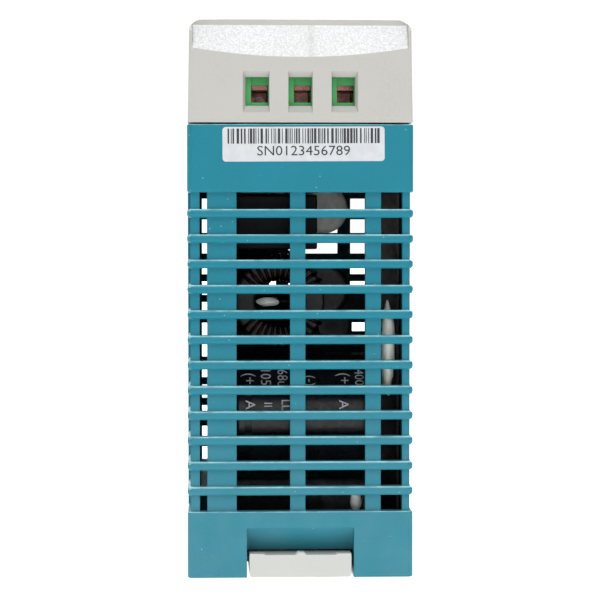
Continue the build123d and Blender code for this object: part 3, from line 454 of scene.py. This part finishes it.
MATERIALS = {
    "housing_plastic": moulded(
        "housing_plastic", TEAL, 0.38,
        grain=0.17, depth=0.008, mottle=0.05, edge=0.2, edge_light=1.2, sheen=0.26, painted_highlight=PAINTED_EDGE_HIGHLIGHT,
        dust_and_bounce=0.5,
    ),
    "cover_plastic": moulded(
        "cover_plastic", BEIGE, 0.42,
        grain=0.22, depth=0.022, mottle=0.025, edge=0.2, edge_light=1.03, sheen=0.4,
        # the pale facet colour is painted light; the last colour is a painted highlight
        facet_light_colour=srgb(226, 228, 230), painted_highlight=srgb(240, 240, 236),
    ),
    "latch_plastic": moulded(
        "latch_plastic", srgb(186, 187, 182), 0.4,
        # the last colour is a painted highlight on the upper edges
        grain=0.2, depth=0.012, mottle=0.02, edge=0.2, edge_light=1.05, painted_highlight=srgb(244, 244, 240),
    ),
    "label_paper": sticker(),
    "spring_steel": metal("spring_steel", srgb(190, 190, 192), 0.25, (1, 1, 1)),
    "board_laminate": laminate(),
    "terminal_green": moulded(
        "terminal_green", srgb(60, 166, 88), 0.4,
        grain=0.18, depth=0.012, mottle=0.06, edge=0.15, edge_light=1.25,
    ),
    # the terminal's contact and cage metals are painted dark, as the shade inside the terminal
    "contact_metal": metal("contact_metal", srgb(140, 98, 90), 0.24, (10, 1, 1), 0.5, 0.6),
    "cage_metal": metal("cage_metal", srgb(92, 74, 70), 0.18, (1, 8, 1), 0.5, 0.6),
    "screw_steel": metal("screw_steel", srgb(200, 200, 196), 0.28, (1, 1, 6), 0.5),
    "capacitor_sleeve": film_sleeve(),
    "film_box": moulded(
        "film_box", srgb(7, 9, 11), 0.5,
        grain=0.3, depth=0.02, mottle=0.15, edge=0.2, edge_light=1.6, sheen=0.12,
    ),
    "thermistor_coating": dipped("thermistor_coating", srgb(196, 198, 190), 0.5),
    "disc_coating": dipped("disc_coating", srgb(28, 70, 140)),
    "varistor_coating": dipped("varistor_coating", srgb(16, 15, 16), 0.45),
    "blackened_steel": metal("blackened_steel", srgb(44, 44, 47), 0.38, (1, 1, 6), 0.5),
    "fuse_case": moulded(
        "fuse_case", srgb(42, 34, 30), 0.35,
        grain=0.3, depth=0.01, mottle=0.1, edge=0.2, edge_light=1.4,
    ),
    "ferrite": sintered(),
    "enamelled_wire": enamelled(),
    "heatsink_aluminium": metal("heatsink_aluminium", srgb(28, 28, 31), 0.45, (1, 1, 10), 0.7),
    "package_epoxy": moulded(
        "package_epoxy", srgb(20, 20, 21), 0.5,
        grain=0.2, depth=0.012, mottle=0.12, edge=0.15, edge_light=1.5, sheen=0.25,
    ),
    "bobbin_plastic": moulded(
        "bobbin_plastic", srgb(22, 22, 24), 0.45,
        grain=0.3, depth=0.012, mottle=0.12, edge=0.15, edge_light=1.4, sheen=0.25,
    ),
    "transformer_tape": wound_tape(),
    "fibre_sheet": fibre(),
    "silicone": silicone(),
    "led_lens": clear("led_lens", srgb(92, 196, 96), 0.35),
    "clear_plastic": clear("clear_plastic", srgb(226, 236, 230), 0.85),
    "trimmer_plastic": moulded(
        "trimmer_plastic", srgb(40, 78, 150), 0.35,
        grain=0.2, depth=0.01, mottle=0.06, edge=0.15, edge_light=1.3,
    ),
    "header_plastic": moulded(
        "header_plastic", srgb(20, 20, 22), 0.45,
        grain=0.25, depth=0.012, mottle=0.12, edge=0.15, edge_light=1.4, sheen=0.25,
    ),
}
LABEL_INK = ink("label_ink", srgb(38, 38, 44))
PANEL_INK = ink("panel_ink", srgb(62, 66, 70))
SLEEVE_INK = ink("sleeve_ink", srgb(196, 196, 198))


def dress_cad_nodes():
    """Every carried-over CAD node takes the finish of its slot."""
    for part in frame["record"]["subparts"]:
        slots = NODES[part["node"]].data.materials
        slots.clear()
        slots.append(MATERIALS[part["material_slot"]])


dress_cad_nodes()


# ================================================================ building pieces
def add_mesh(name, vertices, faces, material, body="housing", smooth=False):
    """A mesh piece from points in the shared frame, in metres."""
    mesh = bpy.data.meshes.new(name)
    mesh.from_pydata([tuple(v) for v in vertices], [], faces)
    mesh.validate()
    mesh.materials.append(material)
    for polygon in mesh.polygons:
        polygon.use_smooth = smooth
    piece = bpy.data.objects.new(name, mesh)
    bpy.context.scene.collection.objects.link(piece)
    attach(piece, body)
    return piece


def joined(parts):
    """Several (vertices, faces) pairs as one."""
    vertices, faces = [], []
    for points, polygons in parts:
        start = len(vertices)
        vertices += points
        faces += [[i + start for i in polygon] for polygon in polygons]
    return vertices, faces


def tube(path, radius, sides=8):
    """A round wire along a list of points, with closed ends."""
    points = [Vector(p) for p in path]
    vertices, faces = [], []
    side = None
    for i, point in enumerate(points):
        ahead = points[min(i + 1, len(points) - 1)]
        behind = points[max(i - 1, 0)]
        tangent = (ahead - behind).normalized()
        if side is None:
            side = tangent.orthogonal().normalized()
        side = (side - tangent * side.dot(tangent)).normalized()
        other = tangent.cross(side)
        for k in range(sides):
            turn = 2 * math.pi * k / sides
            vertices.append(point + radius * (math.cos(turn) * side + math.sin(turn) * other))
    for i in range(len(points) - 1):
        for k in range(sides):
            a, b = i * sides + k, i * sides + (k + 1) % sides
            faces.append([a, b, b + sides, a + sides])
    faces.append(list(range(sides))[::-1])
    faces.append([len(vertices) - sides + k for k in range(sides)])
    return vertices, faces


def lettering(words, height, align="CENTER"):
    """Flat text as (vertices, faces), with its height along y and centred on the origin."""
    curve = bpy.data.curves.new("lettering", "FONT")
    curve.body = words
    curve.size = height / 0.72
    curve.align_x = align
    curve.align_y = "CENTER"
    curve.resolution_u = 3
    holder = bpy.data.objects.new("lettering", curve)
    bpy.context.scene.collection.objects.link(holder)
    bpy.context.view_layer.update()
    mesh = bpy.data.meshes.new_from_object(holder.evaluated_get(bpy.context.evaluated_depsgraph_get()))
    vertices = [v.co.copy() for v in mesh.vertices]
    faces = [list(p.vertices) for p in mesh.polygons]
    bpy.data.objects.remove(holder)
    bpy.data.curves.remove(curve)
    bpy.data.meshes.remove(mesh)
    return vertices, faces


def laid(shape, origin, right, up):
    """A flat shape moved so that its x runs along right and its y along up."""
    vertices, faces = shape
    right, up, origin = Vector(right), Vector(up), Vector(origin)
    return [origin + v.x * right + v.y * up for v in vertices], faces


def flat_box(x0, y0, x1, y1):
    corners = ((x0, y0), (x1, y0), (x1, y1), (x0, y1))
    return [Vector((x, y, 0)) for x, y in corners], [[0, 1, 2, 3]]


def rounded_outline(half_x, half_y, radius, steps=6):
    points = []
    for corner in range(4):
        sx, sy = ((1, 1), (-1, 1), (-1, -1), (1, -1))[corner]
        for k in range(steps + 1):
            turn = math.pi / 2 * (corner + k / steps)
            x = sx * (half_x - radius) + radius * math.cos(turn)
            y = sy * (half_y - radius) + radius * math.sin(turn)
            points.append(Vector((x, y, 0)))
    return points


# ================================================================ the serial label
LABEL_LOW, LABEL_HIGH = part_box("serial_label")
LABEL_MIDDLE = (LABEL_LOW + LABEL_HIGH) / 2
LABEL_TILT = math.radians(0.3)
LABEL_RIGHT = Vector((math.cos(LABEL_TILT), 0, math.sin(LABEL_TILT)))
LABEL_UP = Vector((-math.sin(LABEL_TILT), 0, math.cos(LABEL_TILT)))


def serial_label():
    """A paper label stuck on a touch crooked."""
    half = (LABEL_HIGH - LABEL_LOW) / 2
    outline = rounded_outline(half.x - 0.1 * MM, half.z - 0.1 * MM, 0.6 * MM)
    count = len(outline)
    face_y = LABEL_LOW.y + 0.02 * MM
    back_y = LABEL_HIGH.y - 0.002 * MM
    vertices = []
    for y in (face_y, back_y):
        vertices += laid((outline, []), (LABEL_MIDDLE.x, y, LABEL_MIDDLE.z), LABEL_RIGHT, LABEL_UP)[0]
    faces = [list(range(count)), [count + i for i in range(count)][::-1]]
    faces += [[i, i + count, (i + 1) % count + count, (i + 1) % count] for i in range(count)]
    piece = add_mesh("serial_label_paper", vertices, faces, MATERIALS["label_paper"])
    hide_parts("serial_label")


BAR_MODULE = 0.145 * MM
BARS_X = (-13.4 * MM, 13.2 * MM)
BARS_Z = (0.1 * MM, 2.75 * MM)
NUMBER_HEIGHT = 1.75 * MM
NUMBER_LENGTH = 16.4 * MM
NUMBER_DROP = 1.25 * MM


def serial_print():
    """Made-up bars and a placeholder number under them."""
    dice = random.Random(41)
    cursor = BARS_X[0]
    shapes = []
    while cursor < BARS_X[1]:
        width = BAR_MODULE * dice.choice((1, 1, 1, 2, 2, 3))
        shapes.append(flat_box(cursor, BARS_Z[0], cursor + width, BARS_Z[1]))
        cursor += width + BAR_MODULE * dice.choice((1, 1, 2, 2, 3))
    number, faces = lettering("SN0123456789", NUMBER_HEIGHT)
    stretch = NUMBER_LENGTH / (max(v.x for v in number) - min(v.x for v in number))
    shapes.append(([Vector((v.x * stretch, v.y - NUMBER_DROP, 0)) for v in number], faces))
    origin = (LABEL_MIDDLE.x, LABEL_LOW.y + 0.008 * MM, LABEL_MIDDLE.z)
    vertices, faces = laid(joined(shapes), origin, LABEL_RIGHT, LABEL_UP)
    add_mesh("serial_label_print", vertices, faces, LABEL_INK)


# ================================================================ the rating label on the side
def rating_print():
    """A plain rating table: placeholder headings and ruled lines."""
    low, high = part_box("rating_label")
    right, up = Vector((0, 1, 0)), Vector((0, 0, 1))
    middle_point = Vector((high.x + 0.01 * MM, (low.y + high.y) / 2, (low.z + high.z) / 2))
    half_w, half_h = (high.y - low.y) / 2, (high.z - low.z) / 2
    line = 0.12 * MM
    shapes = []
    for share in (0.62, 0.22, -0.18, -0.58):
        shapes.append(flat_box(-0.9 * half_w, share * half_h, 0.9 * half_w, share * half_h + line))
    rows = (
        ("DIN RAIL POWER SUPPLY", 3.2, 0.78),
        ("INPUT   100-240 V ~   50/60 Hz", 2.2, 0.42),
        ("OUTPUT   DC", 2.2, 0.02),
        ("L   N   GND        +V  +V  -V  -V", 2.2, -0.38),
        ("INDOOR USE ONLY", 1.8, -0.78),
    )
    for words, height, share in rows:
        points, faces = lettering(words, height * MM)
        shapes.append(([Vector((v.x, v.y + share * half_h, 0)) for v in points], faces))
    vertices, faces = laid(joined(shapes), middle_point, right, up)
    add_mesh("rating_label_print", vertices, faces, LABEL_INK)


# ================================================================ terminal numbers on the cover's terraces
def terrace_numbers():
    """Pad-printed pole numbers beside the screw holes."""
    shapes = []
    for end, count, first in (("input", 3, 1), ("output", 4, 4)):
        for i in range(count):
            screw = middle(f"{end}_screw_{i + 1}")
            side = -1 if end == "input" else 1
            origin = (screw.x, screw.y - side * 3.9 * MM, TERRACE_Z + 0.006 * MM)
            right = (-side, 0, 0)
            up = (0, -side, 0)
            shapes.append(laid(lettering(str(first + i), 1.5 * MM), origin, right, up))
    vertices, faces = joined(shapes)
    add_mesh("pole_numbers", vertices, faces, PANEL_INK)


# ================================================================ the large capacitor's print
def wrapped(shape, axis_point, radius, lift):
    """Bends a flat shape round a cylinder along x: the shape's y runs along the axis, its x round it."""
    vertices, faces = shape
    placed = []
    for v in vertices:
        turn = lift + v.x / radius
        sideways = radius * math.cos(turn)
        upwards = radius * math.sin(turn)
        placed.append(Vector((axis_point.x + v.y, axis_point.y - sideways, axis_point.z + upwards)))
    return placed, faces


def subdivided(shape, longest):
    """Splits a flat mesh's long edges so that it can bend."""
    mesh = bpy.data.meshes.new("bending")
    mesh.from_pydata([tuple(v) for v in shape[0]], [], shape[1])
    work = bmesh.new()
    work.from_mesh(mesh)
    for _ in range(3):
        long_edges = [e for e in work.edges if e.calc_length() > longest]
        if long_edges:
            bmesh.ops.subdivide_edges(work, edges=long_edges, cuts=1)
    bmesh.ops.triangulate(work, faces=work.faces)
    work.verts.ensure_lookup_table()
    vertices = [v.co.copy() for v in work.verts]
    faces = [[v.index for v in f.verts] for f in work.faces]
    work.free()
    bpy.data.meshes.remove(mesh)
    return vertices, faces


# Each word with its place along the can and its height, in millimetres, and its lift round it, in degrees.
SLEEVE_WORDS = (
    ("(+)", 0.8, 2.1, 36),
    ("105C", 3.7, 1.9, 36),
    ("68uF", 6.7, 1.9, 36),
    ("(-)", 11.7, 1.8, 36),
    ("(+)", 17.8, 2.1, 36),
    ("400V", 20.5, 1.7, 36),
    ("A", 0.9, 1.8, 12),
    ("II", 4.1, 1.5, 12),
    ("LL", 7.2, 1.5, 12),
    ("A", 17.6, 1.8, 12),
)
PRINT_START = 24.0 * MM  # from the can's right end
PRINT_SEGMENT = 0.6 * MM
DASH_HALF_WIDTH = 0.7 * MM
DASH_START = 2.0
DASH_PITCH = 4.4
DASH_LENGTH = 2.4
DASH_LIFT = math.radians(150)


def sleeve_print():
    """Placeholder markings that read round the can, and the pale polarity dashes at its back."""
    low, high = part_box("bulk_capacitor")
    radius = (high.z - low.z) / 2
    skin = radius + 0.03 * MM
    x0 = high.x - PRINT_START
    axis_point = Vector((x0, low.y + radius, low.z + radius))
    marks = []
    for words, along, height, lift in SLEEVE_WORDS:
        points, faces = lettering(words, height * MM)
        turned = [Vector((-v.x, v.y + along * MM, 0)) for v in points]
        word = subdivided((turned, faces), PRINT_SEGMENT)
        marks.append(wrapped(word, axis_point, skin, math.radians(lift)))
    for k in range(5):
        start = DASH_START + DASH_PITCH * k
        dash = flat_box(-DASH_HALF_WIDTH, start * MM, DASH_HALF_WIDTH, (start + DASH_LENGTH) * MM)
        marks.append(wrapped(subdivided(dash, PRINT_SEGMENT), axis_point, skin, DASH_LIFT))
    vertices, faces = joined(marks)
    add_mesh("sleeve_print", vertices, faces, SLEEVE_INK)


# ================================================================ the latch spring
def latch_spring():
    """A compression spring with its end turns closed up."""
    low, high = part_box("latch_spring")
    wire = 0.2 * MM
    radius = (high.x - low.x) / 2 - wire
    centre_x = (low.x + high.x) / 2
    centre_z = (low.z + high.z) / 2
    turns, steps = 9, 20
    start, length = low.y + wire, high.y - low.y - 2 * wire
    path = []
    for k in range(turns * steps + 1):
        share = k / (turns * steps)
        eased = share - 0.11 * math.sin(2 * math.pi * share)
        turn = 2 * math.pi * turns * share
        path.append(
            (centre_x + radius * math.cos(turn), start + length * eased, centre_z + radius * math.sin(turn))
        )
    vertices, faces = tube(path, wire)
    steel = MATERIALS["spring_steel"]
    piece = add_mesh("latch_spring_coil", vertices, faces, steel, smooth=True)
    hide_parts("latch_spring")
    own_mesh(piece)


# ================================================================ wound ring cores
WIRE_RADIUS = 0.33 * MM
BELOW_BOARD = 1.0 * MM
LOOP_STEPS = 20
SQUARENESS = 0.75  # how far a turn's round path is drawn out towards the core's square section


def winding(centre, axis, radii, half_width, wire, sector, turns, lead_ends):
    """Wire wound close round a ring core over one sector, with its two ends led off to the board."""
    centre, axis = Vector(centre), Vector(axis)
    first = Vector((1, 0, 0)) if abs(axis.x) < 0.5 else Vector((0, 1, 0))
    second = axis.cross(first)
    inner, outer = radii[0] - wire, radii[1] + wire
    path = []
    for k in range(turns * LOOP_STEPS + 1):
        share = k / (turns * LOOP_STEPS)
        spoke_turn = sector[0] + (sector[1] - sector[0]) * share
        spoke = math.cos(spoke_turn) * first + math.sin(spoke_turn) * second
        loop = 2 * math.pi * k / LOOP_STEPS
        square = 1 / max(abs(math.cos(loop)), abs(math.sin(loop))) ** SQUARENESS
        reach = (inner + outer) / 2 + (outer - inner) / 2 * min(1, max(-1, square * math.cos(loop)))
        across = (half_width + wire) * min(1, max(-1, square * math.sin(loop)))
        path.append(centre + spoke * reach + axis * across)
    head, tail = lead_ends
    return tube([head[0], head[1]] + path + [tail[1], tail[0]], wire)


def lead(x_board, y, z, x_bend):
    """A lead's foot in the board and the bend above it."""
    return ((x_board, y, z), (x_bend, y, z))


def choke_windings():
    """Two enamelled windings on the input choke, one above the gap and one below it."""
    low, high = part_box("choke_core")
    centre = (low + high) / 2
    outer = (high.z - low.z) / 2
    inner = outer - 3.8 * MM
    half_width = (high.y - low.y) / 2
    wire = WIRE_RADIUS
    gap = 0.47
    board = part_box("main_board")[0].x - BELOW_BOARD
    bend = centre.x - outer + 1.0 * MM
    front, back = low.y + 1.0 * MM, high.y - 1.0 * MM
    upper, lower = centre.z + 6.4 * MM, centre.z - 6.6 * MM
    sectors = (
        ((math.pi + gap, 2 * math.pi - gap), upper),
        ((math.pi - gap, gap), lower),
    )
    shapes = []
    for sector, foot in sectors:
        lead_ends = (lead(board, front, foot, bend), lead(board, back, foot, bend))
        shapes.append(winding(centre, (0, 1, 0), (inner, outer), half_width, wire, sector, 12, lead_ends))
    vertices, faces = joined(shapes)
    copper = MATERIALS["enamelled_wire"]
    piece = add_mesh("choke_wire", vertices, faces, copper, smooth=True)
    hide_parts("choke_windings")


def inductor_winding():
    """One winding nearly all the way round the output inductor, which lies flat on the board."""
    low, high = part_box("output_inductor_core")
    centre = (low + high) / 2
    outer = (high.z - low.z) / 2
    inner = outer - 3.4 * MM
    half_width = (high.x - low.x) / 2
    wire = WIRE_RADIUS
    gap = 0.35
    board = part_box("main_board")[0].x - BELOW_BOARD
    bend = low.x - 0.5 * MM
    start = (board, centre.y - 3.5 * MM, centre.z - 7.0 * MM)
    end = (board, centre.y + 4.0 * MM, centre.z + 7.0 * MM)
    lead_ends = ((start, (bend,) + start[1:]), (end, (bend,) + end[1:]))
    sector = (gap, 2 * math.pi - gap)
    vertices, faces = winding(centre, (1, 0, 0), (inner, outer), half_width, wire, sector, 22, lead_ends)
    copper = MATERIALS["enamelled_wire"]
    piece = add_mesh("inductor_wire", vertices, faces, copper, smooth=True)
    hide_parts("output_inductor_winding")


# ================================================================ silicone beads
def silicone_beads():
    """Uneven, smeared beads, one for each solid of the CAD node."""
    mesh = NODES["staking_adhesive"].data
    work = bmesh.new()
    work.from_mesh(mesh)
    bmesh.ops.remove_doubles(work, verts=work.verts, dist=1e-6)
    islands, seen = [], set()
    for vertex in work.verts:
        if vertex in seen:
            continue
        island, queue = [], [vertex]
        seen.add(vertex)
        while queue:
            current = queue.pop()
            island.append(current.co.copy())
            for edge in current.link_edges:
                neighbour = edge.other_vert(current)
                if neighbour not in seen:
                    seen.add(neighbour)
                    queue.append(neighbour)
        islands.append(island)
    work.free()
    shapes = []
    for island in islands:
        low = Vector(map(min, zip(*island)))
        high = Vector(map(max, zip(*island)))
        shapes.append(bead((low + high) / 2, (high - low) / 2))
    vertices, faces = joined(shapes)
    piece = add_mesh("silicone_beads", vertices, faces, MATERIALS["silicone"], smooth=True)
    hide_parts("staking_adhesive")


def bead(centre, half):
    """An ellipsoid drawn in here and there by soft noise, never pushed out."""
    work = bmesh.new()
    bmesh.ops.create_icosphere(work, subdivisions=4, radius=1.0)
    vertices = []
    for v in work.verts:
        point = Vector((v.co.x * half.x, v.co.y * half.y, v.co.z * half.z)) + centre
        dent = 0.5 + 0.5 * noise.noise(point * 620)
        vertices.append(centre + (point - centre) * (1 - 0.3 * dent))
    faces = [[v.index for v in f.verts] for f in work.faces]
    work.free()
    return vertices, faces


# ================================================================ small touches
def thermistor_dots():
    """Two small dark dots on the front of the thermistor's coating: painted shade where the leads dimple
    it.
    """
    low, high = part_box("inrush_thermistor")
    disc_x = high.x - (high.z - low.z) / 2
    disc_z = (low.z + high.z) / 2
    shapes = []
    for across, up in ((-1.6, -2.0), (2.2, -2.2)):
        centre = Vector((disc_x + across * MM, low.y + 0.12 * MM, disc_z + up * MM))
        shapes.append(bead(centre, Vector((0.42, 0.1, 0.42)) * MM))
    vertices, faces = joined(shapes)
    dark = MATERIALS["film_box"]
    add_mesh("thermistor_dots", vertices, faces, dark, smooth=True)


serial_label()
serial_print()
rating_print()
terrace_numbers()
sleeve_print()
latch_spring()
choke_windings()
inductor_winding()
silicone_beads()
thermistor_dots()


# ================================================================ camera, light and floor
LENS = 130.65
CAMERA_X = -0.0155
CAMERA_Z = 0.0623
CAMERA_DISTANCE = 0.384
TARGET_X = -0.0001
TARGET_Z = 0.0493
STUDIO_FRONT = 0.12
STUDIO_BACK = 1.1
FLOOR_GLOW = 0.9
FLOOR_REACH = 4.0


def look_at(thing, target):
    thing.rotation_mode = "QUATERNION"
    thing.rotation_quaternion = (Vector(target) - thing.location).to_track_quat("-Z", "Y")


def add_camera():
    """Level with the grille's upper third, a little left of centre, through a long lens."""
    low = Vector(CAD_BOX[0])
    data = bpy.data.cameras.new("camera")
    data.sensor_width = 36.0
    data.lens = LENS
    data.clip_start = 0.01
    camera = bpy.data.objects.new("camera", data)
    bpy.context.scene.collection.objects.link(camera)
    camera.location = (CAMERA_X, low.y - CAMERA_DISTANCE, CAMERA_Z)
    look_at(camera, (TARGET_X, low.y, TARGET_Z))
    bpy.context.scene.camera = camera


def add_world():
    """A white studio: bright behind the object, dim towards the camera."""
    world = bpy.data.worlds.new("studio")
    world.use_nodes = True
    tree = world.node_tree
    background = tree.nodes["Background"]
    background.inputs["Color"].default_value = (1.0, 1.0, 1.0, 1.0)
    direction = tree.nodes.new("ShaderNodeTexCoord")
    parts = tree.nodes.new("ShaderNodeSeparateXYZ")
    spread = tree.nodes.new("ShaderNodeMapRange")
    spread.interpolation_type = "SMOOTHSTEP"
    numbers = {"From Min": -0.7, "From Max": 0.6, "To Min": STUDIO_FRONT, "To Max": STUDIO_BACK}
    for socket, number in numbers.items():
        spread.inputs[socket].default_value = number
    tree.links.new(direction.outputs["Generated"], parts.inputs["Vector"])
    tree.links.new(parts.outputs["Y"], spread.inputs["Value"])
    tree.links.new(spread.outputs["Result"], background.inputs["Strength"])
    bpy.context.scene.world = world


def add_sun(name, strength, softness, direction):
    """A very wide lamp, far enough away to light the whole floor alike."""
    data = bpy.data.lights.new(name, "SUN")
    data.energy = strength
    data.angle = math.radians(softness)
    sun = bpy.data.objects.new(name, data)
    bpy.context.scene.collection.objects.link(sun)
    sun.location = -Vector(direction)
    look_at(sun, (0, 0, 0))


def add_light():
    add_world()
    add_sun("overhead_softbox", 1.9, 40, (0.06, 0.62, -0.8))
    add_sun("front_fill", 0.34, 30, (-0.1, 0.95, -0.3))


def add_floor():
    mesh = bpy.data.meshes.new("floor")
    corners, faces = flat_box(-FLOOR_REACH, -FLOOR_REACH, FLOOR_REACH, FLOOR_REACH)
    mesh.from_pydata(corners, [], faces)
    floor = bpy.data.objects.new("floor", mesh)
    bpy.context.scene.collection.objects.link(floor)
    s = Surface("floor", 0.9)
    s.paint(s.mix(s.spread(s.noise(60.0), 0.3, 0.7), (0.78, 0.78, 0.78, 1), (0.82, 0.82, 0.82, 1)))
    s.set("Emission Color", (1.0, 1.0, 1.0, 1.0))
    s.set("Emission Strength", FLOOR_GLOW)
    mesh.materials.append(s.done())


add_camera()
add_light()
add_floor()
bpy.context.scene.view_settings.view_transform = "Standard"
